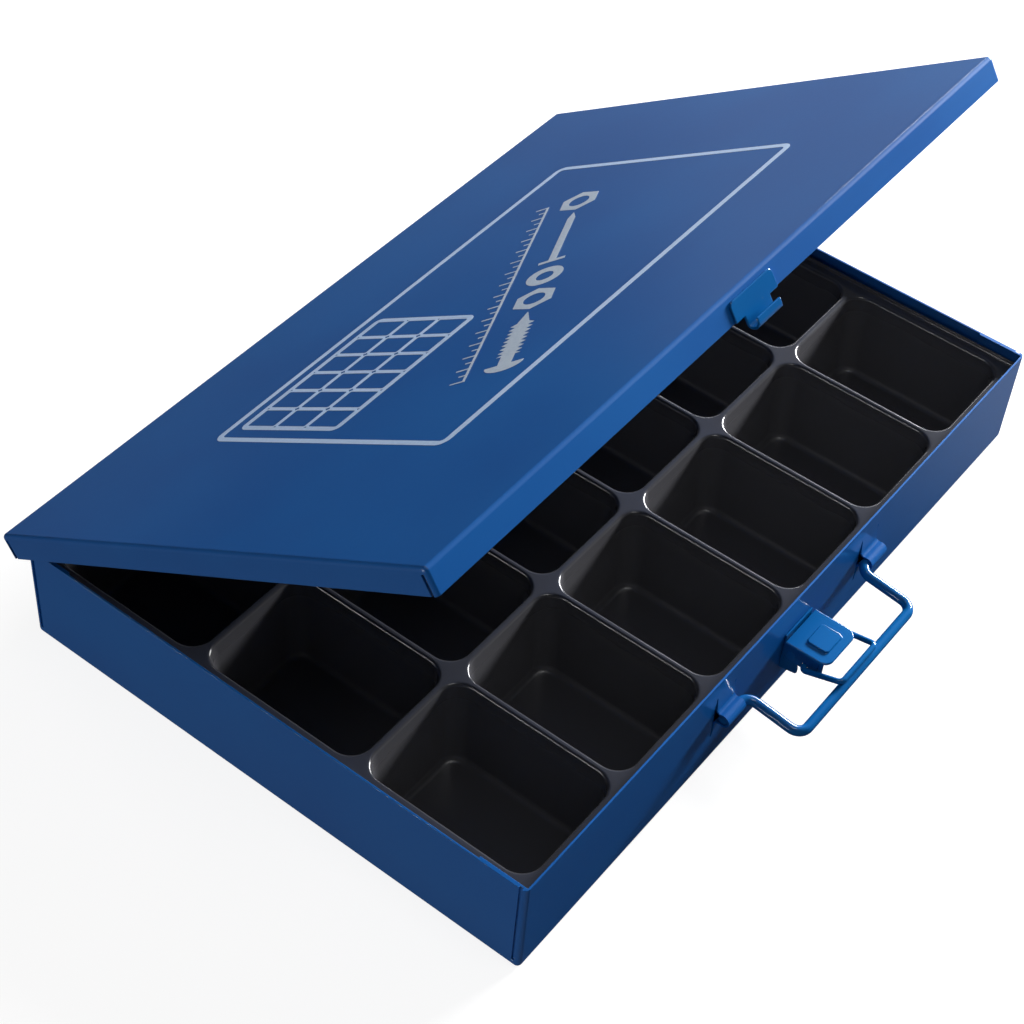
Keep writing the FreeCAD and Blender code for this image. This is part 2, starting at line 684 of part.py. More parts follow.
def make_latch_bracket():
    """Channel welded to the front wall, with an ear on each side for the lever's pivot."""
    body = new_body("latch_bracket")
    wall = latch_out
    web = latch_out - latch_steel
    nose = latch_pin_radius + ear_wall
    tip = nose + finger_reach
    ear_top = lever_rise - latch_steel - ear_clearance
    finger_foot = finger_slope - bracket_foot
    finger_top = finger_foot + finger_height
    ear = new_sketch(body, "ear_outline", "YZ_Plane")
    soft = latch_pin_radius
    outline(ear, [
        (wall, -bracket_foot), (web, -bracket_foot), (-tip, finger_foot, soft),
        (-tip, finger_top, soft), (-nose, finger_top + finger_blend, soft), (-nose, ear_top, soft),
        (web, ear_top), (web, bracket_top), (wall, bracket_top)])
    pad(body, "channel", ear, 2 * bracket_half, both_ways=True)
    gap = new_sketch(body, "gap_outline", "YZ_Plane")
    rectangle(gap, -tip - overcut, web, -bracket_foot - overcut, bracket_top + overcut)
    inside = pocket(body, "gap", gap, 2 * (bracket_half - latch_steel), both_ways=True)
    cut_volume(body, inside)
    hole = new_sketch(body, "pin_hole_outline", "YZ_Plane")
    circle(hole, 0, 0, latch_pin_radius)
    cut_volume(body, pocket(body, "pin_hole", hole, 2 * (bracket_half + overcut), both_ways=True))
    place(body, 0, front - latch_out, latch_height)
    return body


def make_latch_lever():
    """Pressed lever: top plate with a raised pad, two side flanges and their holes."""
    body = new_body("latch_lever")
    under = lever_rise - latch_steel
    flange_front = -(lever_reach - lever_nose)
    side = new_sketch(body, "side_outline", "YZ_Plane")
    outline(side, [
        (lever_back, lever_rise), (-lever_reach, lever_rise), (-lever_reach, under),
        (flange_front, under), (flange_front, -flange_drop, flange_corner),
        (lever_back, -flange_drop, flange_drop)])
    block = pad(body, "block", side, lever_width, both_ways=True)

    def is_bend(box):
        long_run = box.YLength > lever_reach.value / 2 and box.XLength < 1e-6
        return long_run and abs(box.ZMin - lever_rise.value) < 1e-6

    def is_front_corner(box):
        upright = box.XLength < 1e-6 and box.YLength < 1e-6 and box.ZLength > 1e-3
        return upright and abs(box.YMin + lever_reach.value) < 1e-6

    corners = fillet(body, "front_corners", block, edges_where(block, is_front_corner), lever_corner)
    fillet(body, "bends", corners, edges_where(corners, is_bend), lever_bend)
    inside = new_sketch(body, "inside_outline", "YZ_Plane")
    rectangle(inside, -lever_reach - overcut, lever_back + overcut, -flange_drop - overcut, under)
    hollow = pocket(body, "inside", inside, lever_width - 2 * latch_steel, both_ways=True)
    cut_volume(body, hollow)

    pad_front = -(lever_reach - pad_setback)
    raised = new_sketch(body, "pad_outline", "XY_Plane", lever_rise)
    rectangle(raised, -pad_width / 2, pad_width / 2, pad_front, pad_front + pad_length, pad_corner)
    boss = pad(body, "raised_pad", raised, pad_height)

    def is_boss_edge(box):
        return flat(box, (lever_rise + pad_height).value, (lever_rise + pad_height).value)

    fillet(body, "pad_edge", boss, edges_where(boss, is_boss_edge), pad_height / 2)
    dent = new_sketch(body, "dent_outline", "XY_Plane", under)
    left, right = -pad_width / 2 + latch_steel, pad_width / 2 - latch_steel
    low, high = pad_front + latch_steel, pad_front + pad_length - latch_steel
    rectangle(dent, left, right, low, high, pad_corner - latch_steel / 2)
    cut_volume(body, pocket(body, "dent", dent, pad_height, reverse=True))

    for name, across, up, radius in (("pin_hole", 0, 0, latch_pin_radius + running),
                                     ("loop_hole", -loop_out, -loop_drop, loop_wire + wire_play)):
        hole = new_sketch(body, name + "_outline", "YZ_Plane")
        circle(hole, across, up, radius)
        cut_volume(body, pocket(body, name, hole, lever_width + 2 * overcut, both_ways=True))
    place(body, 0, front - latch_out, latch_height)
    return body


def make_pivot_pin():
    """Riveted pin through the bracket's ears and the lever's flanges."""
    body = new_body("latch_pivot_pin")
    section = new_sketch(body, "half_section", "XY_Plane")
    neck = latch_half + pin_head_gap
    end = neck + pin_head_height
    outline(section, [(-end, 0), (end, 0), (end, pin_head_radius - pin_head_height),
                      (neck, pin_head_radius), (neck, latch_pin_radius), (-neck, latch_pin_radius),
                      (-neck, pin_head_radius), (-end, pin_head_radius - pin_head_height)])
    turned = body.newObject("PartDesign::Revolution", "turned_pin")
    turned.Profile = section
    turned.ReferenceAxis = (origin_part(body, "X_Axis"), [""])
    turned.Angle = 360
    place(body, 0, front - latch_out, latch_height)
    return body


def make_hook_plate():
    """Plate on the lid's front rim whose neck folds out and up into the hook for the loop."""
    body = new_body("lid_hook_plate")
    face = lid_front
    trough_back = face - hook_steel
    trough_front = trough_back - trough_width
    lip_face = trough_front - hook_steel
    low = trough_floor - hook_steel
    top = rim_foot + hook_height
    inner_bend = trough_width / 2 - rest_gap
    outer_bend = inner_bend + hook_steel
    band = new_sketch(body, "hook_outline", "YZ_Plane")
    outline(band, [
        (face, top), (trough_back, top), (trough_back, trough_floor, inner_bend),
        (trough_front, trough_floor, inner_bend), (trough_front, trough_floor + lip_rise),
        (lip_face, trough_floor + lip_rise), (lip_face, low, outer_bend), (face, low, outer_bend)])
    strip = pad(body, "strip", band, hook_width, both_ways=True)

    def is_top_corner(box):
        along = box.XLength < 1e-6 and box.ZLength < 1e-6
        return along and abs(box.ZMin - top.value) < 1e-6

    rounded = fillet(body, "top_corners", strip, edges_where(strip, is_top_corner), hook_corner)
    sides = new_sketch(body, "side_cut_outline", "XZ_Plane", -(face + lip_face) / 2)
    rectangle(sides, neck_width / 2, hook_width / 2 + overcut, low - overcut, rim_foot)
    hook_depth = face - lip_face
    side_cut = pocket(body, "side_cut", sides, hook_depth + 2 * overcut, both_ways=True)
    cut_volume(body, side_cut)
    shoulders = new_sketch(body, "lip_cut_outline", "XZ_Plane", -(trough_front + lip_face) / 2)
    rectangle(shoulders, lip_width / 2, neck_width / 2 + overcut, trough_floor, rim_foot)
    lip_cut = pocket(body, "lip_cut", shoulders, hook_steel + 2 * rest_gap, both_ways=True)
    cut_volume(body, lip_cut)
    mirror_left_right(body, "left_cuts", [side_cut, lip_cut])
    place(body, 0, hinge_y, hinge_height, lid_angle)
    return body


def make_hinge_base_leaf(side, across):
    """Leaf welded to the back wall, curled round the pin at its two outer knuckles."""
    body = new_body("hinge_base_leaf_" + side)
    leaf = new_sketch(body, "leaf_outline", "YZ_Plane")
    rectangle(leaf, -hinge_back, -hinge_back + hinge_steel, -base_leaf_drop, 0)
    pad(body, "leaf", leaf, hinge_length, both_ways=True)
    barrel = new_sketch(body, "barrel_outline", "YZ_Plane")
    circle(barrel, 0, 0, knuckle_radius)
    pad(body, "barrel", barrel, hinge_length, both_ways=True)
    bore = new_sketch(body, "bore_outline", "YZ_Plane")
    circle(bore, 0, 0, hinge_pin_radius)
    cut_volume(body, pocket(body, "bore", bore, hinge_length + 2 * overcut, both_ways=True))
    notch = new_sketch(body, "notch_outline", "YZ_Plane")
    reach = knuckle_radius + 2 * knuckle_gap
    rectangle(notch, -hinge_back - overcut, reach, -reach, reach)
    notch_width = middle_knuckle + 2 * knuckle_gap
    cut_volume(body, pocket(body, "notch", notch, notch_width, both_ways=True))
    place(body, across, hinge_y, hinge_height)
    return body


def make_hinge_lid_leaf(side, across):
    """Leaf welded to the lid's back rim, with the middle knuckle."""
    body = new_body("hinge_lid_leaf_" + side)
    clear = knuckle_radius + 2 * knuckle_gap
    leaf = new_sketch(body, "leaf_outline", "YZ_Plane")
    rectangle(leaf, lid_back, lid_back + hinge_steel, clear, lid_top - lid_leaf_setback)
    pad(body, "leaf", leaf, hinge_length, both_ways=True)
    neck = new_sketch(body, "neck_outline", "YZ_Plane")
    rectangle(neck, lid_back, lid_back + hinge_steel, hinge_pin_radius, clear)
    pad(body, "neck", neck, middle_knuckle, both_ways=True)
    barrel = new_sketch(body, "barrel_outline", "YZ_Plane")
    circle(barrel, 0, 0, knuckle_radius)
    pad(body, "barrel", barrel, middle_knuckle, both_ways=True)
    bore = new_sketch(body, "bore_outline", "YZ_Plane")
    circle(bore, 0, 0, hinge_pin_radius + running)
    cut_volume(body, pocket(body, "bore", bore, hinge_length, both_ways=True))
    place(body, across, hinge_y, hinge_height, lid_angle)
    return body


def make_hinge_pin(side, across):
    """Plain hinge pin, held by the outer knuckles."""
    body = new_body("hinge_pin_" + side)
    section = new_sketch(body, "section", "YZ_Plane")
    circle(section, 0, 0, hinge_pin_radius)
    pad(body, "rod", section, hinge_length, both_ways=True)
    place(body, across, hinge_y, hinge_height)
    return body


parts = [
    make_base_pan(), make_insert_tray(), make_lid_pan(), make_hook_plate(), make_carry_handle(),
    make_latch_bracket(), make_latch_lever(), make_pivot_pin(), make_latch_loop()]
for side, across in (("left", -hinge_place), ("right", hinge_place)):
    parts.append(make_hinge_base_leaf(side, across))
    parts.append(make_hinge_lid_leaf(side, across))
    parts.append(make_hinge_pin(side, across))
doc.recompute()

for item in doc.Objects:
    if "Invalid" in item.State or "Error" in item.State:
        raise ValueError("failed: " + item.Name)
for part in parts:
    if part.Shape.isNull() or not part.Shape.isValid() or len(part.Shape.Solids) != 1:
        raise ValueError("not one valid solid: " + part.Label)

os.makedirs("parts", exist_ok=True)
for part in parts:
    part.Shape.exportStep("parts/" + part.Label + ".step")
    box = part.Shape.BoundBox
    print("%-24s %9.1f mm3  y %.2f to %.2f  z %.2f to %.2f" % (
        part.Label, part.Shape.Volume, box.YMin, box.YMax, box.ZMin, box.ZMax))

# The closed latch turns the lever a quarter turn and the loop by this much against it
closed_angle = 90 - math.degrees(math.atan2(closed_lean.value, closed_run.value))
loop_turn = 90 + closed_angle - loop_angle.value
print("loop reach %.3f, open angle %.3f, turn against the lever %.3f" % (
    loop_reach.value, loop_angle.value, loop_turn))
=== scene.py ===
# %% [markdown]
# # A steel organizer box, dressed for its portrait
#
# The box is a folded sheet-steel pan with a hinged lid, a wire handle, a loop
# latch and one black tray of eighteen pockets. The CAD frame already has every
# size, so this lesson only finishes it: rounder plastic, rounder wire, softened
# sheet edges, paint, plastic and steel, and a small studio around it.

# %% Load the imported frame
import json
import math

import bmesh
import bpy
import numpy as np
from mathutils import Matrix, Vector


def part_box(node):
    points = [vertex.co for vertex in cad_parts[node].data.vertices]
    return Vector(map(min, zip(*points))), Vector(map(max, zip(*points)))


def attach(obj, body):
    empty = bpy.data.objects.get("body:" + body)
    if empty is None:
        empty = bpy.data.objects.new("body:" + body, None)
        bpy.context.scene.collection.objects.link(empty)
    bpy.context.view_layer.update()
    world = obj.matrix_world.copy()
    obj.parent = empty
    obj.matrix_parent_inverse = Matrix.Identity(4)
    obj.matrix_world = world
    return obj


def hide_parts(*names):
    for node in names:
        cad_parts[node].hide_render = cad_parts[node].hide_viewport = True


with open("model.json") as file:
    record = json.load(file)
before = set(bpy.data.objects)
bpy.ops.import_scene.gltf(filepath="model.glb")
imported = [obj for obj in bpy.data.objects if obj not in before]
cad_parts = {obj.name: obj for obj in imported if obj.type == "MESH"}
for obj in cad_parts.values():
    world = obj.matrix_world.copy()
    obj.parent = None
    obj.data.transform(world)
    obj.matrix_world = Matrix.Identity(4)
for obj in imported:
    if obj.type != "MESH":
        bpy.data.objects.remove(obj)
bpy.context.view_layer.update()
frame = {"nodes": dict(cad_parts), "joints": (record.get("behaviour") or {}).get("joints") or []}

MM = 0.001

# %% Read the joints
joints = {joint["name"]: joint for joint in frame["joints"]}
pivots = {name: np.array(joint["pos_m"]) for name, joint in joints.items()}
lid_opening = math.radians(-joints["lid_hinge"]["range_deg"][0])
for name, pivot in pivots.items():
    print(name, "turns about", np.round(pivot / MM, 2), "mm")

# %% [markdown]
# ## The camera
#
# A product photograph is taken with a long lens from above one corner. The
# camera's place and turn come from a fit to the box's corners and edges, so
# they are written as one position and two directions. The picture is cropped a
# little off the lens's axis, and a small vertical shift does the same here.

# %% Camera
IMAGE_SIDE = 1024
SENSOR_WIDTH = 36.0
FOCAL_PIXELS = 2231.3
AXIS_HEIGHT_PIXELS = 462.5
camera_place = Vector((-500.158, -319.890, 648.905)) * MM
camera_right = Vector((0.60996, -0.79020, 0.05941))
camera_up = Vector((0.54516, 0.47286, 0.69225))
camera_back = camera_right.cross(camera_up).normalized()
camera_up = camera_back.cross(camera_right).normalized()

lens = bpy.data.cameras.new("portrait_lens")
lens.sensor_width = SENSOR_WIDTH
lens.lens = FOCAL_PIXELS * SENSOR_WIDTH / IMAGE_SIDE
lens.shift_y = (AXIS_HEIGHT_PIXELS - IMAGE_SIDE / 2) / IMAGE_SIDE
lens.clip_start = 0.01
camera = bpy.data.objects.new("portrait_camera", lens)
turn = Matrix((camera_right, camera_up, camera_back)).transposed()
camera.matrix_world = Matrix.Translation(camera_place) @ turn.to_4x4()
bpy.context.scene.collection.objects.link(camera)
bpy.context.scene.camera = camera
print("lens %.1f mm, shift %.4f" % (lens.lens, lens.shift_y))


# %% [markdown]
# ## Shader maths as Python
#
# Node trees are easier to read as sums. One small class holds a socket, and
# the usual operators add the Math nodes that do the sum. Every other node comes
# from one method, `node`, and the commonest ones have a short name of their own.

# %% The Signal class
class Signal:
    """An output socket. Arithmetic on it adds Math nodes to its tree."""

    def __init__(self, tree, socket=None):
        self.tree = tree
        self.socket = socket

    def node(self, kind, settings=None, sockets=None, output=0):
        """Add a node: first its settings, then a value or a link for each socket."""
        made = self.tree.nodes.new(kind)
        for name, value in (settings or {}).items():
            setattr(made, name, value)
        for name, value in (sockets or {}).items():
            if isinstance(value, Signal):
                self.tree.links.new(value.socket, made.inputs[name])
            else:
                made.inputs[name].default_value = value
        return Signal(self.tree, made.outputs[output])

    def maths(self, operation, *values):
        """One Math node on two or three values."""
        return self.node("ShaderNodeMath", {"operation": operation}, dict(enumerate(values)))

    def __add__(self, other):
        return self.maths("ADD", self, other)

    def __sub__(self, other):
        return self.maths("SUBTRACT", self, other)

    def __rsub__(self, other):
        return self.maths("SUBTRACT", other, self)

    def __mul__(self, other):
        return self.maths("MULTIPLY", self, other)

    __radd__ = __add__
    __rmul__ = __mul__

    def between(self, low, high):
        """0 below low, 1 above high, with a smooth rise from one to the other."""
        return self.node("ShaderNodeMapRange", {"interpolation_type": "SMOOTHSTEP"},
                         {"Value": self, "From Min": low, "From Max": high})

    def blend(self, first, second):
        """The first colour where this signal is 0, the second where it is 1."""
        return self.node("ShaderNodeMix", {"data_type": "RGBA"},
                         {"Factor": self, 6: first, 7: second}, output=2)

    def noise(self, scale, detail):
        """Smooth noise from 0 to 1, read at this place."""
        return self.node("ShaderNodeTexNoise", sockets={"Vector": self, "Scale": scale, "Detail": detail})

    def axis(self, name):
        """The X, Y or Z of this vector."""
        return self.node("ShaderNodeSeparateXYZ", sockets={"Vector": self}, output=name)

    def bump(self, distance):
        """A normal bent by this height. The distance is the height that a signal of 1 has."""
        return self.node("ShaderNodeBump", sockets={
            "Height": self, "Strength": 1.0, "Distance": distance})


# %% Colours from 0 to 255, and a helper that starts a material
def paint(red, green, blue):
    """A colour given in screen values, as the linear values that a shader wants."""
    picked = np.array((red, green, blue)) / 255
    linear = np.where(picked <= 0.04045, picked / 12.92, ((picked + 0.055) / 1.055) ** 2.4)
    return (*linear.tolist(), 1.0)


def new_material(name):
    """A material with an empty tree, and the signal that starts its maths."""
    material = bpy.data.materials.new(name)
    material.use_nodes = True
    material.node_tree.nodes.clear()
    return material, Signal(material.node_tree)


def close_material(signal, **sockets):
    """A Principled shader on the output, with its sockets by name."""
    named = {name.replace("_", " "): value for name, value in sockets.items()}
    shader = signal.node("ShaderNodeBsdfPrincipled", sockets=named)
    finish = signal.tree.nodes.new("ShaderNodeOutputMaterial")
    signal.tree.links.new(shader.socket, finish.inputs["Surface"])


# %% [markdown]
# ## Paint, plastic, steel and ink
#
# The enamel is stoved on: a saturated blue under a clear, glossy skin with a
# fine orange peel. Paint thins a little over the sheet, so its tint drifts by
# a few percent over some centimetres. A glossy coat over a rougher base gives
# both the soft colour and the sharp reflections.

# %% Enamel
def enamel(name, thin, thick, peel, sheen):
    """Blue drifts between a thin and a thick tint. Peel is the height of the orange peel,
    and sheen is how much the paint shines under its clear skin."""
    material, start = new_material(name)
    place = start.node("ShaderNodeTexCoord", output="Object")
    drift, cells, dust = place.noise(11.0, 3.0), place.noise(620.0, 1.0), place.noise(2600.0, 2.0)
    colour = drift.between(0.3, 0.7).blend(thick, thin)
    close_material(start, Base_Color=colour, Roughness=0.42 + 0.12 * drift, Specular_IOR_Level=sheen,
                   Coat_Weight=0.85 + 0.15 * cells, Coat_Roughness=0.06,
                   Normal=(cells + 0.25 * dust).bump(peel))
    return material


blue_enamel = enamel("blue_enamel", paint(7, 93, 169), paint(4, 85, 161), peel=0.5e-5, sheen=0.12)
latch_enamel = enamel("latch_enamel", paint(4, 96, 162), paint(3, 88, 155), peel=0.3e-5, sheen=0.02)
print("enamels:", blue_enamel.name, latch_enamel.name)


# %% [markdown]
# The tray is drawn from a warm sheet of black polystyrene. Its upper side has
# the faint grain of the sheet and a satin shine. Near the rib tops the shine is
# clearer, and the flats that look up are a lighter, bluish grey: a trace of dust
# and a painted sheen. The steep walls are a lighter black than the flats, which
# is painted light that brightens the pockets.

# %% Satin plastic
def satin_plastic(name):
    """Black, with a fine grain in its height and broad patches in its shine. It changes
    with the height in the tray and with how steep the surface is."""
    material, start = new_material(name)
    place = start.node("ShaderNodeTexCoord", output="Object")
    patches, grain = place.noise(38.0, 4.0), place.noise(1900.0, 2.0)
    facing_up = start.node("ShaderNodeNewGeometry", output="Normal").axis("Z")
    high = place.axis("Z").between(30.0 * MM, 39.5 * MM)
    # Painted sheen with a trace of dust: flats near the top that face up turn a lighter, bluish grey.
    dust_and_sheen = facing_up.between(0.75, 1.0) * high * (0.5 + 0.5 * patches.between(0.25, 0.8))
    # Painted light: the steep walls get a lighter black than the flats, to brighten the pockets.
    steep = 1 - facing_up.between(0.2, 0.9)
    plain = steep.blend(paint(57, 57, 61), paint(84, 84, 88))
    colour = dust_and_sheen.blend(plain, paint(54, 57, 67))
    roughness = 0.27 - 0.15 * high + 0.10 * patches
    close_material(start, Base_Color=colour, Roughness=roughness, IOR=1.5, Normal=grain.bump(0.9e-5))
    return material


tray_black = satin_plastic("tray_black")


# %% Drawn steel wire for the hinge pins
def drawn_steel(name):
    """Bright steel with long scratches along X, the way the wire is drawn."""
    material, start = new_material(name)
    place = start.node("ShaderNodeTexCoord", output="Object")
    along = start.node("ShaderNodeMapping", sockets={"Vector": place, "Scale": (60.0, 2600.0, 2600.0)})
    lines = along.noise(1.0, 3.0)
    colour = lines.blend(paint(150, 152, 156), paint(196, 198, 202))
    close_material(start, Base_Color=colour, Metallic=1.0, Roughness=0.24 + 0.2 * lines,
                   Normal=lines.bump(0.5e-5))
    return material


hinge_pin_steel = drawn_steel("hinge_pin_steel")


# %% Screen-printed ink
def ink(name, strong, weak):
    """A pale ink that the screen's threads leave a little uneven."""
    material, start = new_material(name)
    place = start.node("ShaderNodeTexCoord", output="Object")
    threads, cover = place.noise(900.0, 2.0), place.noise(25.0, 2.0)
    colour = (0.6 * threads + 0.4 * cover).between(0.35, 0.65).blend(weak, strong)
    close_material(start, Base_Color=colour, Roughness=0.42 + 0.1 * threads, IOR=1.5,
                   Coat_Weight=0.3, Coat_Roughness=0.15)
    return material


pale_ink = ink("pale_ink", paint(190, 214, 246), paint(178, 204, 238))
grey_ink = ink("grey_ink", paint(186, 200, 216), paint(172, 188, 208))
print("finishes:", len(bpy.data.materials))


# %% [markdown]
# ## Softened sheet metal
#
# The pans, the lever, the bracket and the hook are cut and folded sheet, and
# the CAD has their true bends. What CAD leaves out is that no cut edge is
# perfectly sharp once it is painted. A copy of the CAD mesh is merged, its
# flats are made whole again, and a narrow bevel rounds the cut edges.

# %% A dressed copy of a CAD node
WELD = 2e-6
FLAT_ANGLE = math.radians(0.4)
CREASE_ANGLE = math.radians(44)
CUT_ANGLE = math.radians(50)


def add_object(name, mesh, material):
    """Put a mesh into the scene as an object at the origin."""
    mesh.materials.clear()
    mesh.materials.append(material)
    piece = bpy.data.objects.new(name, mesh)
    bpy.context.scene.collection.objects.link(piece)
    return piece


def softened(node, body, material, edge_round):
    """Merge the node's loose triangles, dissolve its flats and round its cut edges."""
    mesh = bpy.data.meshes.new(node + "_sheet")
    shape = bmesh.new()
    shape.from_mesh(frame["nodes"][node].data)
    bmesh.ops.remove_doubles(shape, verts=shape.verts, dist=WELD)
    bmesh.ops.dissolve_limit(shape, angle_limit=FLAT_ANGLE, verts=shape.verts, edges=shape.edges)
    shape.to_mesh(mesh)
    shape.free()
    mesh.shade_smooth()
    mesh.set_sharp_from_angle(angle=CREASE_ANGLE)
    piece = add_object(node + "_painted", mesh, material)
    rounding = piece.modifiers.new("cut_edges", "BEVEL")
    rounding.width = edge_round
    rounding.segments = 2
    rounding.limit_method = "ANGLE"
    rounding.angle_limit = CUT_ANGLE
    rounding.use_clamp_overlap = False
    even = piece.modifiers.new("even_shading", "WEIGHTED_NORMAL")
    even.keep_sharp = True
    even.weight = 100
    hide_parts(node)
    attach(piece, body)
    print(node, "has", len(mesh.polygons), "faces")


# %% The sheet pieces
SHEET_EDGE = 0.14 * MM
PRESSED_EDGE = 0.30 * MM
softened("base_pan", "base", blue_enamel, SHEET_EDGE)
softened("lid_pan", "lid", blue_enamel, SHEET_EDGE)
for node, body in (("latch_bracket", "base"), ("latch_lever", "lever"), ("lid_hook_plate", "lid")):
    softened(node, body, latch_enamel, PRESSED_EDGE)
for side in ("left", "right"):
    softened("hinge_base_leaf_" + side, "base", blue_enamel, SHEET_EDGE)
    softened("hinge_lid_leaf_" + side, "lid", blue_enamel, SHEET_EDGE)


# %% [markdown]
# ## Surfaces on a grid
#
# The formed tray, the wires and the pins are surfaces of two parameters. Their
# points are worked out as one array with a row for each step of the profile,
# and `skin` joins the rows with four-sided faces.

# %% Rows of points to a mesh
SLIVER = 1e-7


def skin(rows, closed=True):
    """Four-sided faces between neighbouring rows. A closed row ends where it starts."""
    steps, around = rows.shape[:2]
    index = np.arange(steps * around).reshape(steps, around)
    following = np.roll(index, -1, axis=1)
    if not closed:
        index, following = index[:, :-1], following[:, :-1]
    faces = np.stack([index[:-1], following[:-1], following[1:], index[1:]], axis=-1)
    return rows.reshape(-1, 3), faces.reshape(-1, 4)


def mesh_from(name, parts):
    """Join (points, faces) parts, weld what touches, and drop faces without an area."""
    points, faces, count = [], [], 0
    for part_points, part_faces in parts:
        points.append(part_points)
        faces += [[corner + count for corner in face] for face in np.asarray(part_faces).tolist()]
        count += len(part_points)
    mesh = bpy.data.meshes.new(name)
    mesh.from_pydata(np.concatenate(points), [], faces)
    shape = bmesh.new()
    shape.from_mesh(mesh)
    bmesh.ops.remove_doubles(shape, verts=shape.verts, dist=WELD)
    bmesh.ops.dissolve_degenerate(shape, edges=shape.edges, dist=SLIVER)
    shape.to_mesh(mesh)
    shape.free()
    mesh.shade_smooth()
    return mesh


# %% [markdown]
# ## The formed tray
#
# Heated sheet is sucked down over a male tool. Every pocket has a rounded
# mouth, drafted walls that lean in, and a smooth cove before its floor, and the
# sheet turns up in a low lip against the steel. One surface follows all of
# this, and Solidify gives it the sheet's thickness underneath.

# %% Sizes of the tray
COLUMNS, ROWS = 6, 3
PITCH = np.array((53.2, 72.6)) * MM
MOUTH_HALF = np.array((25.1, 34.8)) * MM
MOUTH_CORNER = 8.5 * MM
DRAFT = 2.6 * MM
COVE = 2.6 * MM
SHEET = 1.0 * MM
tray_low, tray_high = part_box("insert_tray")
TRAY_LEVEL = 40.0 * MM
POCKET_FLOOR = tray_low.z + SHEET
MOUTH_ROUND = 1.3 * MM
LIP_ROUND = 0.8 * MM
RIM_EDGE = 0.25 * MM
CORNER_STEPS = 12
MOUTH_STEPS, WALL_STEPS, COVE_STEPS, LIP_STEPS = 8, 6, 10, 6
FLOOR_SHARES = np.array((0.9, 0.5, 0.0))
print("pocket floors at %.1f mm, ribs at %.1f mm" % (POCKET_FLOOR / MM, TRAY_LEVEL / MM))


# %% One ring of a pocket
def quarter_turns(steps):
    """Angles of the four corner arcs of a ring, and the sign of x and y at each corner."""
    sweep = np.linspace(0, math.pi / 2, steps + 1)
    angles = (np.arange(4)[:, None] * math.pi / 2 + sweep).ravel()
    signs = np.repeat(np.array([(1, 1), (-1, 1), (-1, -1), (1, -1)]), steps + 1, axis=0)
    return angles, signs


def rounded_ring(half, corner):
    """A rounded rectangle: the rectangle of the corner centres, plus the corner
    radius times the direction at each angle. half and corner may be arrays of steps."""
    half, corner = np.atleast_2d(half), np.atleast_1d(corner)
    angles, signs = quarter_turns(CORNER_STEPS)
    direction = np.stack([np.cos(angles), np.sin(angles)], axis=-1)
    centres = (half - corner[:, None])[:, None, :] * signs
    return centres + corner[:, None, None] * direction


# %% The profile of a pocket
def pocket_profile():
    """Inset and height from the rib's top to the floor: a quarter of an ellipse at
    the mouth, the leaning wall, and a quarter circle that ends level."""
    turn = np.linspace(0, math.pi / 2, MOUTH_STEPS)
    mouth_in = -MOUTH_ROUND + MOUTH_ROUND * np.sin(turn)
    mouth_up = TRAY_LEVEL - MOUTH_ROUND * (1 - np.cos(turn))
    share = np.linspace(0, 1, WALL_STEPS)[1:-1]
    cove_top = POCKET_FLOOR + COVE
    wall_in = DRAFT * share
    wall_up = mouth_up[-1] + (cove_top - mouth_up[-1]) * share
    bend = np.linspace(0, math.pi / 2, COVE_STEPS)
    cove_in = DRAFT + COVE * (1 - np.cos(bend))
    cove_up = cove_top - COVE * np.sin(bend)
    inset = np.concatenate([mouth_in, wall_in, cove_in])
    height = np.concatenate([mouth_up, wall_up, cove_up])
    return inset, height


inset, height = pocket_profile()
rings = rounded_ring(MOUTH_HALF - inset[:, None], MOUTH_CORNER - inset / 2)
print("a pocket has", rings.shape[0], "rings of", rings.shape[1], "points")


# %% Pockets and the rib tops between them
def tile_edge(low, high, mouth):
    """The mouth's ring pushed out to a rectangle: the first half of each corner arc goes
    to one side, the second half to the other, so that neighbours share their points."""
    angles, signs = quarter_turns(CORNER_STEPS)
    edge = mouth.copy()
    side = np.where(signs > 0, high, low)
    step = np.tile(np.arange(CORNER_STEPS + 1), 4)
    quarter = np.repeat(np.arange(4), CORNER_STEPS + 1)
    before = step <= CORNER_STEPS // 2
    to_x = before == (quarter % 2 == 0)
    edge[to_x, 0] = side[to_x, 0]
    edge[~to_x, 1] = side[~to_x, 1]
    middle = step == CORNER_STEPS // 2
    edge[middle] = side[middle]
    return edge


def pocket(column, row, low, high):
    """Rings of one pocket down to its floor, and the tile of rib top round its mouth."""
    centre = (np.array((column, row)) - (np.array((COLUMNS, ROWS)) - 1) / 2) * PITCH
    levels = np.broadcast_to(height[:, None, None], (*rings.shape[:2], 1))
    walls = np.concatenate([rings + centre, levels], axis=-1)
    mouth = walls[0, :, :2]
    edge = np.column_stack([tile_edge(low, high, mouth), np.full(len(mouth), TRAY_LEVEL)])
    between = (edge + walls[0]) / 2
    tile = skin(np.stack([edge, between, walls[0]]))
    side = skin(walls)
    middle = np.append(centre, POCKET_FLOOR)
    floor_rings = middle + (walls[-1] - middle) * FLOOR_SHARES[:, None, None]
    floor = skin(np.concatenate([walls[-1:], floor_rings]))
    return [tile, side, floor]


def tile_lines(half, count, pitch):
    """Where the tiles meet along one side: between the pockets, and at the tray's two ends."""
    return np.concatenate([[-half], (np.arange(1, count) - count / 2) * pitch, [half]])


foot_half = np.array((tray_high.x, tray_high.y)) - SHEET - LIP_ROUND
tray_parts = []
edge_x = tile_lines(foot_half[0], COLUMNS, PITCH[0])
edge_y = tile_lines(foot_half[1], ROWS, PITCH[1])
for row in range(ROWS):
    for column in range(COLUMNS):
        low = np.array((edge_x[column], edge_y[row]))
        high = np.array((edge_x[column + 1], edge_y[row + 1]))
        tray_parts += pocket(column, row, low, high)
print(len(tray_parts), "parts in the tray's upper side")


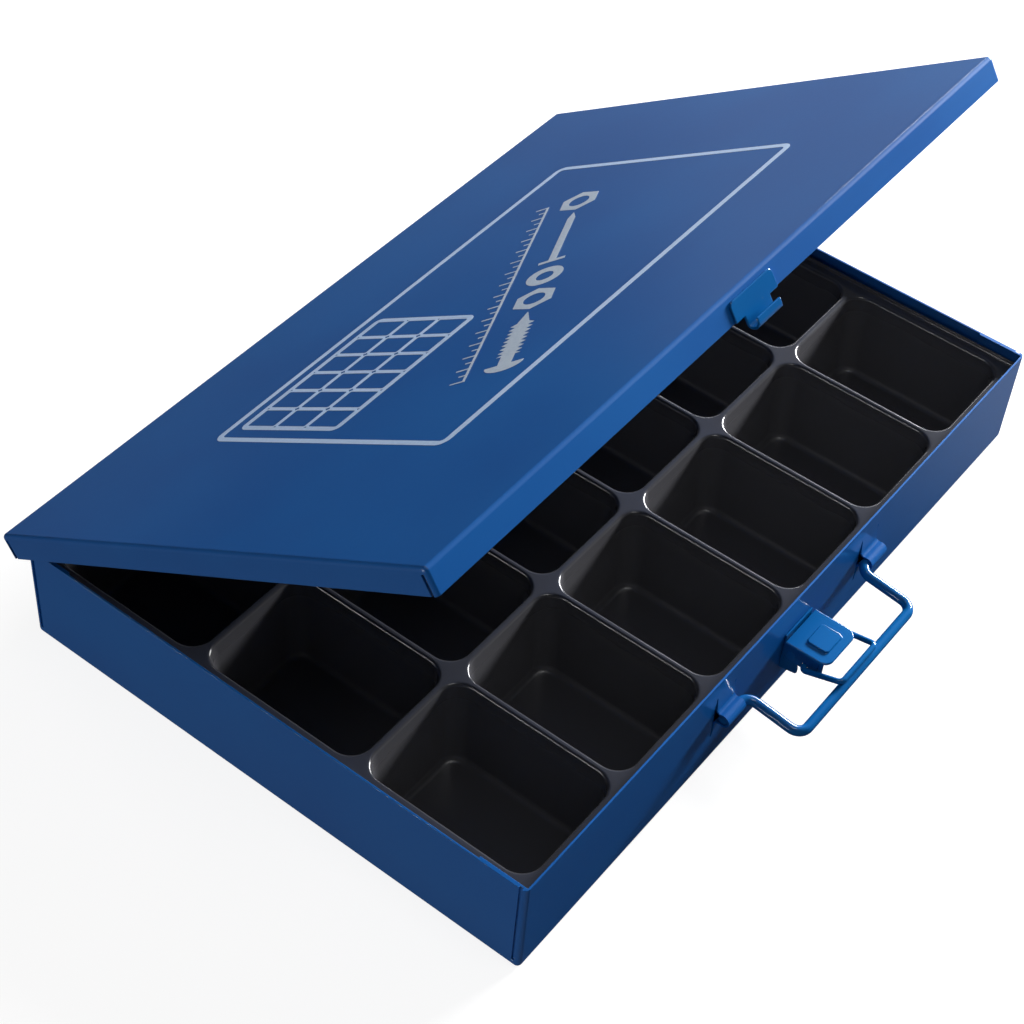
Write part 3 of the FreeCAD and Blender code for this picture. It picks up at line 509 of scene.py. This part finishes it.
# %% The lip round the tray
def edge_points(parts, axis, value):
    """Sorted places along one side of the tray where the tiles have points."""
    points = np.concatenate([part[0] for part in parts])
    on_edge = points[np.abs(points[:, axis] - value) < SLIVER]
    return np.unique(np.round(on_edge[:, 1 - axis], 8))


tiles = tray_parts[::3]
run_x = edge_points(tiles, 1, foot_half[1])
run_y = edge_points(tiles, 0, foot_half[0])
fan = np.linspace(0, math.pi / 2, LIP_STEPS)

foot, outward = [], []
for quarter, (x_sign, y_sign) in enumerate(((1, 1), (-1, 1), (-1, -1), (1, -1))):
    corner = foot_half * (x_sign, y_sign)
    angles = fan + quarter * math.pi / 2
    foot.append(np.tile(corner, (len(fan), 1)))
    outward.append(np.stack([np.cos(angles), np.sin(angles)], axis=-1))
    if quarter % 2 == 0:
        places = run_x[1:-1][::-1] if y_sign > 0 else run_x[1:-1]
        foot.append(np.column_stack([places, np.full(len(places), corner[1])]))
        outward.append(np.tile((0.0, float(y_sign)), (len(places), 1)))
    else:
        places = run_y[1:-1][::-1] if x_sign < 0 else run_y[1:-1]
        foot.append(np.column_stack([np.full(len(places), corner[0]), places]))
        outward.append(np.tile((float(x_sign), 0.0), (len(places), 1)))
foot, outward = np.concatenate(foot), np.concatenate(outward)
turn_up = np.linspace(0, math.pi / 2, LIP_STEPS)
out = np.append(LIP_ROUND * np.sin(turn_up), LIP_ROUND)
up = np.append(LIP_ROUND * (1 - np.cos(turn_up)), tray_high.z - TRAY_LEVEL)
lip_places = foot + out[:, None, None] * outward
lip_levels = np.broadcast_to((TRAY_LEVEL + up)[:, None, None], (*lip_places.shape[:2], 1))
lip_rows = np.concatenate([lip_places, lip_levels], axis=-1)
tray_parts.append(skin(lip_rows[::-1]))
print(len(foot), "points round the tray's lip")

# %% The tray's object
tray_mesh = mesh_from("formed_tray", tray_parts)
tray = add_object("formed_tray", tray_mesh, tray_black)
thickness = tray.modifiers.new("sheet", "SOLIDIFY")
thickness.thickness = SHEET
thickness.offset = -1
thickness.use_even_offset = True
soft_rim = tray.modifiers.new("soft_rim", "BEVEL")
soft_rim.width = RIM_EDGE
soft_rim.segments = 2
soft_rim.limit_method = "ANGLE"
soft_rim.angle_limit = math.radians(60)
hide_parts("insert_tray")
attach(tray, "base")
print("the tray has", len(tray_mesh.polygons), "faces on its upper side")


# %% [markdown]
# ## Bent wire
#
# The handle and the latch's loop are round wire bent in a flat jig, with their
# ends turned in. A circle is carried along straight runs joined by arcs, and
# each cut end is a shallow dome.

# %% A tube along a bent path
BEND_STEPS, DOME_STEPS, WIRE_SIDES = 10, 4, 28


def bent_path(corners, bend):
    """Points and directions along straight runs, with an arc of the bend radius where
    two runs meet. The arc touches both runs at bend times the tangent of half the turn."""
    corners = np.array(corners, float)
    places, headings = [corners[0]], [corners[1] - corners[0]]
    for before, corner, after in zip(corners[:-2], corners[1:-1], corners[2:]):
        arriving = (corner - before) / np.linalg.norm(corner - before)
        leaving = (after - corner) / np.linalg.norm(after - corner)
        turn = math.atan2(arriving[0] * leaving[1] - arriving[1] * leaving[0], arriving @ leaving)
        inward = math.copysign(1, turn) * np.array((-arriving[1], arriving[0]))
        centre = corner - arriving * bend * math.tan(abs(turn) / 2) + inward * bend
        angle = np.linspace(0, abs(turn), BEND_STEPS + 1)[:, None]
        places.append(centre - inward * bend * np.cos(angle) + arriving * bend * np.sin(angle))
        headings.append(arriving * np.cos(angle) + inward * np.sin(angle))
    places.append(corners[-1])
    headings.append(corners[-1] - corners[-2])
    headings = np.vstack(headings)
    return np.vstack(places), headings / np.linalg.norm(headings, axis=1)[:, None]


def wire(corners, radius, bend, dome):
    """Ring i is the path's point plus the radius times cos t of the sideways direction
    and sin t of the upright one. The domes shrink that radius as they go on past the ends."""
    places, headings = bent_path(corners, bend)
    swell = np.linspace(math.pi / 2, 0, DOME_STEPS + 1)[:-1]
    before = places[0] - headings[0] * (dome * np.sin(swell))[:, None]
    after = places[-1] + headings[-1] * (dome * np.sin(swell[::-1]))[:, None]
    places = np.vstack([before, places, after])
    headings = np.vstack([np.tile(headings[0], (DOME_STEPS, 1)), headings,
                          np.tile(headings[-1], (DOME_STEPS, 1))])
    straight = np.ones(len(places) - 2 * DOME_STEPS)
    size = np.concatenate([np.cos(swell), straight, np.cos(swell[::-1])]) * radius
    t = np.linspace(0, 2 * math.pi, WIRE_SIDES, endpoint=False)
    sideways = np.column_stack([-headings[:, 1], headings[:, 0]])
    flat = places[:, None, :] + size[:, None, None] * np.cos(t)[None, :, None] * sideways[:, None, :]
    upright = size[:, None] * np.sin(t)
    return np.concatenate([flat, upright[..., None]], axis=-1)


def laid(rows, pivot, rise):
    """Turn a flat wire up by an angle about X, then carry it to its pivot."""
    x, y, z = np.moveaxis(rows, -1, 0)
    cosine, sine = math.cos(rise), math.sin(rise)
    return np.stack([x, y * cosine + z * sine, z * cosine - y * sine], axis=-1) + pivot


# %% The carry handle
HANDLE = {"stub": 53.4, "arm": 38.8, "reach": 24.0, "radius": 2.0, "bend": 4.8, "dome": 0.5, "droop": 8.0}
stub, arm, reach = HANDLE["stub"], HANDLE["arm"], HANDLE["reach"]
corners = np.array([(-stub, 0), (-arm, 0), (-arm, -reach), (arm, -reach), (arm, 0), (stub, 0)]) * MM
rows = wire(corners, HANDLE["radius"] * MM, HANDLE["bend"] * MM, HANDLE["dome"] * MM)
rows = laid(rows, pivots["handle_swing"], -math.radians(HANDLE["droop"]))
handle = add_object("wire_handle", mesh_from("wire_handle", [skin(rows)]), latch_enamel)
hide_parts("carry_handle")
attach(handle, "handle")
print("handle wire:", rows.shape)

# %% The latch's loop
LOOP = {"stub": 9.25, "foot": 12.8, "head": 11.6, "reach": 16.511,
        "radius": 1.1, "bend": 2.1, "dome": 0.3, "rise": 15.67}
stub, foot_x, head, reach = LOOP["stub"], LOOP["foot"], LOOP["head"], LOOP["reach"]
corners = np.array([(-stub, 0), (-foot_x, 0), (-head, -reach), (head, -reach), (foot_x, 0), (stub, 0)]) * MM
rows = wire(corners, LOOP["radius"] * MM, LOOP["bend"] * MM, LOOP["dome"] * MM)
rows = laid(rows, pivots["latch_loop_swing"], math.radians(LOOP["rise"]))
loop = add_object("wire_loop", mesh_from("wire_loop", [skin(rows)]), latch_enamel)
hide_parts("latch_loop")
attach(loop, "loop")
print("loop wire:", rows.shape)


# %% [markdown]
# ## Turned pins
#
# Three pins run along X: the latch's rivet with its two pressed heads, and a
# plain wire pin in each hinge with chamfered ends. Each is a profile carried
# round its own axis.

# %% A profile carried round an axis
PIN_SIDES = 32


def turned(name, profile, centre, material, body, node):
    """x and radius along the axis, carried round it: (x, radius cos t, radius sin t)."""
    along, radius = np.array(profile).T
    t = np.linspace(0, 2 * math.pi, PIN_SIDES, endpoint=False)
    rows = np.stack(np.broadcast_arrays(along[:, None], radius[:, None] * np.cos(t),
                                        radius[:, None] * np.sin(t)), axis=-1)
    piece = add_object(name, mesh_from(name, [skin(rows[::-1] + centre)]), material)
    piece.data.set_sharp_from_angle(angle=CUT_ANGLE)
    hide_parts(node)
    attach(piece, body)


# %% The latch's rivet
SHANK_RADIUS = 1.3 * MM
HEAD_HIGH = 0.35 * MM
HEAD_ROUNDED = 0.55
HEAD_STEPS = 7
low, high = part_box("latch_pivot_pin")
half, head_radius = (high.x - low.x) / 2, (high.z - low.z) / 2
swell = np.linspace(0, math.pi / 2, HEAD_STEPS)
head_out = half - HEAD_HIGH + HEAD_HIGH * np.sin(swell)
head_in = head_radius - HEAD_ROUNDED * head_radius * (1 - np.cos(swell))
right = [(half - HEAD_HIGH, SHANK_RADIUS), *zip(head_out, head_in), (half, 0.0)]
left = [(-x, radius) for x, radius in right[::-1]]
turned("latch_rivet", left + right, np.array((0, (low.y + high.y) / 2, (low.z + high.z) / 2)),
       latch_enamel, "base", "latch_pivot_pin")
print("the rivet is %.1f mm long" % (2 * half / MM))

# %% The hinge pins
CHAMFER = 0.3 * MM
for side in ("left", "right"):
    low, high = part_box("hinge_pin_" + side)
    half, radius = (high.x - low.x) / 2, (high.z - low.z) / 2
    end = [(half - CHAMFER, radius), (half, radius - CHAMFER), (half, 0.0)]
    profile = [(-x, size) for x, size in end[::-1]] + end
    turned("hinge_wire_" + side, profile, np.array((low + high) / 2), hinge_pin_steel,
           "base", "hinge_pin_" + side)
print("two hinge pins of %.1f mm" % (2 * half / MM))


# %% [markdown]
# ## The print on the lid
#
# A pale frame and a little plan of the tray are screen-printed on the lid.
# The ink is a film of a few hundredths of a millimetre. Every line is a strip
# between an outer and an inner outline, laid out on the closed lid in
# millimetres from its front left corner and then carried to the open lid.

# %% From the lid's drawing to the open lid
LID_TOP = 18.5 * MM
LID_HALF_WIDTH = 165 * MM
HINGE_FROM_FRONT = 228 * MM
INK_HEIGHT = 0.05 * MM
INK_FILM = 0.04 * MM


def on_lid(points):
    """Lid drawing to space: x from the left edge, y from the front edge, then a turn of
    the opening angle about the hinge."""
    points = np.asarray(points) * MM
    x = points[..., 0] - LID_HALF_WIDTH
    y = points[..., 1] - HINGE_FROM_FRONT
    z = LID_TOP + INK_HEIGHT
    cosine, sine = math.cos(lid_opening), math.sin(lid_opening)
    return np.stack([x, y * cosine + z * sine + pivots["lid_hinge"][1],
                     z * cosine - y * sine + pivots["lid_hinge"][2]], axis=-1)


def strip(outer, inner):
    """The surface between two outlines with the same number of points."""
    return skin(np.stack([on_lid(outer), on_lid(inner)]))


def frame_line(left, right, bottom, top, corner, width):
    """A rounded frame whose line is centred on the given rectangle."""
    centre = np.array(((left + right) / 2, (bottom + top) / 2))
    half = np.array(((right - left) / 2, (top - bottom) / 2))
    outer = rounded_ring(half + width / 2, corner + width / 2)[0] + centre
    inner = rounded_ring(half - width / 2, corner - width / 2)[0] + centre
    return strip(outer, inner)


# %% The frame and the plan of the tray
FRAME = {"left": 63.6, "right": 269.2, "bottom": 51.4, "top": 171.2, "corner": 3.2, "width": 2.6}
PLAN = {"left": 71.0, "right": 147.0, "bottom": 112.5, "top": 165.1, "corner": 2.6, "width": 1.8}
CELL = {"left": 71.65, "bottom": 113.15, "wide": 12.45, "deep": 17.1,
        "gap": 0.5, "corner": 1.3, "width": 1.05}
ink_parts = [frame_line(**FRAME), frame_line(**PLAN)]
for row in range(ROWS):
    for column in range(COLUMNS):
        x = CELL["left"] + column * CELL["wide"]
        y = CELL["bottom"] + row * CELL["deep"]
        ink_parts.append(frame_line(
            x + CELL["gap"], x + CELL["wide"] - CELL["gap"],
            y + CELL["gap"], y + CELL["deep"] - CELL["gap"], CELL["corner"], CELL["width"]))
print(len(ink_parts), "printed outlines")


# %% Generic symbols along the diagonal
DIAGONAL_START = np.array((108.0, 64.0))
DIAGONAL_SLOPE = math.radians(28.5)


def along_diagonal(outline, distance=0.0):
    """Move an outline along the diagonal's line, then turn it by the diagonal's slope."""
    cosine, sine = math.cos(DIAGONAL_SLOPE), math.sin(DIAGONAL_SLOPE)
    along = outline[:, 0] + distance
    return np.column_stack([along * cosine - outline[:, 1] * sine,
                            along * sine + outline[:, 1] * cosine]) + DIAGONAL_START


def polar(radius, count=48):
    """An outline from its radius at each angle."""
    angle = np.linspace(0, 2 * math.pi, count, endpoint=False)
    reach = radius(angle)
    return np.stack([np.cos(angle) * reach, np.sin(angle) * reach], axis=-1)


def hexagon(across_flats):
    """Half the flats' distance over the cosine of the angle from the nearest flat."""
    return lambda angle: across_flats / 2 / np.cos((angle % (math.pi / 3)) - math.pi / 6)


def circle(radius):
    """The same radius at every angle."""
    return lambda angle: np.full_like(angle, radius)


def ring_symbol(outer, inner, distance):
    """A nut or a washer seen from above: the strip between two outlines."""
    return strip(along_diagonal(polar(outer), distance), along_diagonal(polar(inner), distance))


def side_symbol(places, halves, distance):
    """A screw or a nail from the side: the strip between its upper and lower edge."""
    upper = along_diagonal(np.column_stack([places, halves]), distance)
    lower = along_diagonal(np.column_stack([places, -halves]), distance)
    return skin(np.stack([on_lid(upper), on_lid(lower)]), closed=False)


# %% A screw, a nut, a washer, a nail and a nut
SCREW = {"head": 5.2, "head_half": 7.4, "head_steps": 9, "neck_end": 11.9, "neck_half": 2.6,
         "first_thread": 12.0, "last_thread": 39.0, "half_pitch": 1.5, "crest": 4.6, "root": 2.4}
TIP_AT, TIP_HALF = 46.0, 0.1
NUT_ACROSS, NUT_HOLE = 15.0, 4.3
WASHER_RADIUS, WASHER_HOLE = 7.4, 3.5
ALONG = {"screw": 0.0, "first_nut": 57.0, "washer": 76.5, "nail": 89.0, "second_nut": 146.5}

head_turn = np.linspace(0, math.pi / 2, SCREW["head_steps"])
head_x = SCREW["head"] * (1 - np.cos(head_turn))
head_half = SCREW["head_half"] * np.sin(head_turn)
thread_x = np.arange(SCREW["first_thread"], SCREW["last_thread"], SCREW["half_pitch"])
thread_half = np.where(np.arange(len(thread_x)) % 2 == 0, SCREW["crest"], SCREW["root"])
neck_x, neck_half = [head_x[-1], SCREW["neck_end"]], [SCREW["neck_half"]] * 2
screw_x = np.concatenate([head_x, neck_x, thread_x, [TIP_AT]])
screw_half = np.concatenate([head_half, neck_half, thread_half, [TIP_HALF]])
nail_x = np.array((0.0, 1.9, 1.95, 41.0, TIP_AT))
nail_half = np.array((5.4, 5.4, 1.6, 1.6, TIP_HALF))
symbol_parts = [
    side_symbol(screw_x, screw_half, ALONG["screw"]),
    ring_symbol(hexagon(NUT_ACROSS), circle(NUT_HOLE), ALONG["first_nut"]),
    ring_symbol(circle(WASHER_RADIUS), circle(WASHER_HOLE), ALONG["washer"]),
    side_symbol(nail_x, nail_half, ALONG["nail"]),
    ring_symbol(hexagon(NUT_ACROSS), circle(NUT_HOLE), ALONG["second_nut"]),
]
print("the screw's outline has", len(screw_x), "points on each side")

# %% A rule for screw lengths
RULE = {"across": 13.6, "line": 1.0, "tick": 0.8, "short": 2.4, "long": 4.6, "length": 150,
        "short_every": 5, "long_every": 10}


def bar(first, last, low, high):
    """A rectangle along the diagonal."""
    edge = np.array([(first, low), (last, low)])
    far_edge = np.array([(first, high), (last, high)])
    return skin(np.stack([on_lid(along_diagonal(far_edge)), on_lid(along_diagonal(edge))]), closed=False)


base_line, top_line = RULE["across"], RULE["across"] + RULE["line"]
symbol_parts.append(bar(0, RULE["length"], base_line, top_line))
for place in range(0, RULE["length"] + 1, RULE["short_every"]):
    start_x = min(max(place - RULE["tick"] / 2, 0), RULE["length"] - RULE["tick"])
    rise = RULE["long"] if place % RULE["long_every"] == 0 else RULE["short"]
    symbol_parts.append(bar(start_x, start_x + RULE["tick"], top_line, top_line + rise))
print(len(symbol_parts), "printed symbols and ticks")


# %% Lay the ink on the lid
prints = (("lid_print_frame", ink_parts, pale_ink), ("lid_print_symbols", symbol_parts, grey_ink))
for name, parts, material in prints:
    print_mesh = mesh_from(name, parts)
    shape = bmesh.new()
    shape.from_mesh(print_mesh)
    away = [face for face in shape.faces if face.normal.z < 0]
    bmesh.ops.reverse_faces(shape, faces=away)
    shape.to_mesh(print_mesh)
    shape.free()
    print_mesh.shade_flat()
    film = add_object(name, print_mesh, material)
    body_of_ink = film.modifiers.new("film", "SOLIDIFY")
    body_of_ink.thickness = INK_FILM
    body_of_ink.offset = -1
    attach(film, "lid")
    print(name, "has", len(print_mesh.polygons), "faces")


# %% [markdown]
# ## The studio
#
# The box stands on a pale floor in a dim room. The main light is a softbox low
# on the right. A weak one overhead and a low strip on the left fill the shadows.
# Three narrow ones, on the ceiling behind and as a card on each side, light
# nothing matt: they only shine back in the gloss, as thin lines on the edges.
# The open background is white only for the camera, so the white doesn't wash
# over the enamel.

# %% The floor
def studio_floor(size, drop):
    """A square sheet just below the box. The camera sees it nearly white, and whiter far
    out. The box's gloss sees a dim floor that brightens towards the right."""
    mesh = bpy.data.meshes.new("studio_floor")
    corners = np.array([(-1, -1), (1, -1), (1, 1), (-1, 1)]) * size / 2
    mesh.from_pydata(np.column_stack([corners, np.full(4, -drop)]), [], [(0, 1, 2, 3)])
    material, start = new_material("studio_floor")
    seen = start.node("ShaderNodeLightPath", output="Is Camera Ray")
    mirrored = start.node("ShaderNodeLightPath", output="Is Glossy Ray")
    place = start.node("ShaderNodeTexCoord", output="Object")
    aside, along = place.axis("X"), place.axis("Y")
    distance = start.node("ShaderNodeVectorMath", {"operation": "LENGTH"}, {0: place}, output="Value")
    behind = along.between(-0.05, 0.15)
    towards_right = (aside - 0.81 * along).between(-0.15, 0.35)
    far_side = 0.07 - 0.035 * distance.between(0.35, 0.9) + 0.19 * towards_right
    on_right, on_left = aside.between(0.06, 0.22), (aside * -1).between(0.155, 0.17)
    near_side = 0.015 + 0.19 * on_right + 0.075 * on_left
    sheen = behind * far_side + (1 - behind) * near_side
    open_floor = 0.88 + 0.2 * distance.between(0.7, 1.8)
    matt = start.node("ShaderNodeBsdfDiffuse", sockets={"Color": 0.26 - 0.25 * mirrored})
    glow = start.node("ShaderNodeEmission", sockets={
        "Color": (1.0, 1.0, 1.0, 1.0), "Strength": seen * open_floor + mirrored * sheen})
    both = start.node("ShaderNodeAddShader", sockets={0: matt, 1: glow})
    finish = start.tree.nodes.new("ShaderNodeOutputMaterial")
    start.tree.links.new(both.socket, finish.inputs["Surface"])
    return add_object("studio_floor", mesh, material)


studio_floor(size=8.0, drop=0.1 * MM)

# %% The room's light
world = bpy.data.worlds.new("studio_room")
bpy.context.scene.world = world
world.use_nodes = True
world.node_tree.nodes.clear()
room = Signal(world.node_tree)
toward = room.node("ShaderNodeTexCoord", output="Generated")
east, north, height_up = toward.axis("X"), toward.axis("Y"), toward.axis("Z")
is_camera = room.node("ShaderNodeLightPath", output="Is Camera Ray")
is_glossy = room.node("ShaderNodeLightPath", output="Is Glossy Ray")
is_clear = room.node("ShaderNodeLightPath", output="Is Transmission Ray")
high_right = (0.56 * east + 0.38 * north + 0.72 * height_up).between(0.80, 0.97)
zenith = height_up.between(0.5, 0.95)
far_right = east.between(0.59, 0.74) * north.between(-0.1, 0.3) * (1 - height_up.between(0.1, 0.5))
mirrored = 0.05 + 0.25 * far_right + 0.05 * high_right + 0.1 * height_up.between(0.75, 0.97)
soft = (0.045 + 0.22 * zenith) * (1 + 0.5 * east)
white = is_camera.maths("MAXIMUM", is_camera, is_clear)
strength = white + (1 - white) * (is_glossy * mirrored + (1 - is_glossy) * soft)
lit = room.node("ShaderNodeBackground", sockets={"Color": (1.0, 1.0, 1.0, 1.0), "Strength": strength})
finish = room.tree.nodes.new("ShaderNodeOutputWorld")
room.tree.links.new(lit.socket, finish.inputs["Surface"])
world.cycles.sampling_method = "AUTOMATIC"
print("room nodes:", len(world.node_tree.nodes))


# %% Softboxes
def softbox(name, place, aim, width, depth, watts, lights_matt=True):
    """A rectangular lamp at a place, turned to face its aim. With lights_matt off it only
    shows in the gloss."""
    lamp = bpy.data.lights.new(name, "AREA")
    lamp.shape = "RECTANGLE"
    lamp.size, lamp.size_y = width, depth
    lamp.energy = watts
    box = bpy.data.objects.new(name, lamp)
    box.location = place
    box.rotation_euler = (Vector(place) - Vector(aim)).to_track_quat("Z", "Y").to_euler()
    box.visible_camera = False
    box.visible_diffuse = lights_matt
    bpy.context.scene.collection.objects.link(box)


centre = (0.0, 0.0, 0.05)
softbox("right_softbox", (1.25, -0.18, 0.50), centre, 0.8, 0.26, 57.0)
softbox("overhead_softbox", (-0.10, -0.30, 0.80), (0.0, -0.08, 0.1), 0.20, 0.20, 0.7)
softbox("back_ceiling_softbox", (-0.10, 0.42, 0.95), centre, 0.05, 0.7, 1.2, lights_matt=False)
softbox("left_softbox", (-1.25, 0.25, 0.028), (0.0, 0.1, 0.03), 0.9, 0.044, 4.4)
softbox("left_card", (-1.20, 0.47, 0.28), centre, 0.9, 0.05, 6.0, lights_matt=False)
softbox("right_card", (1.20, 0.50, 0.46), centre, 0.8, 0.09, 3.0, lights_matt=False)
print("lamps:", len(bpy.data.lights))

# %% View settings
bpy.context.scene.view_settings.view_transform = "Standard"
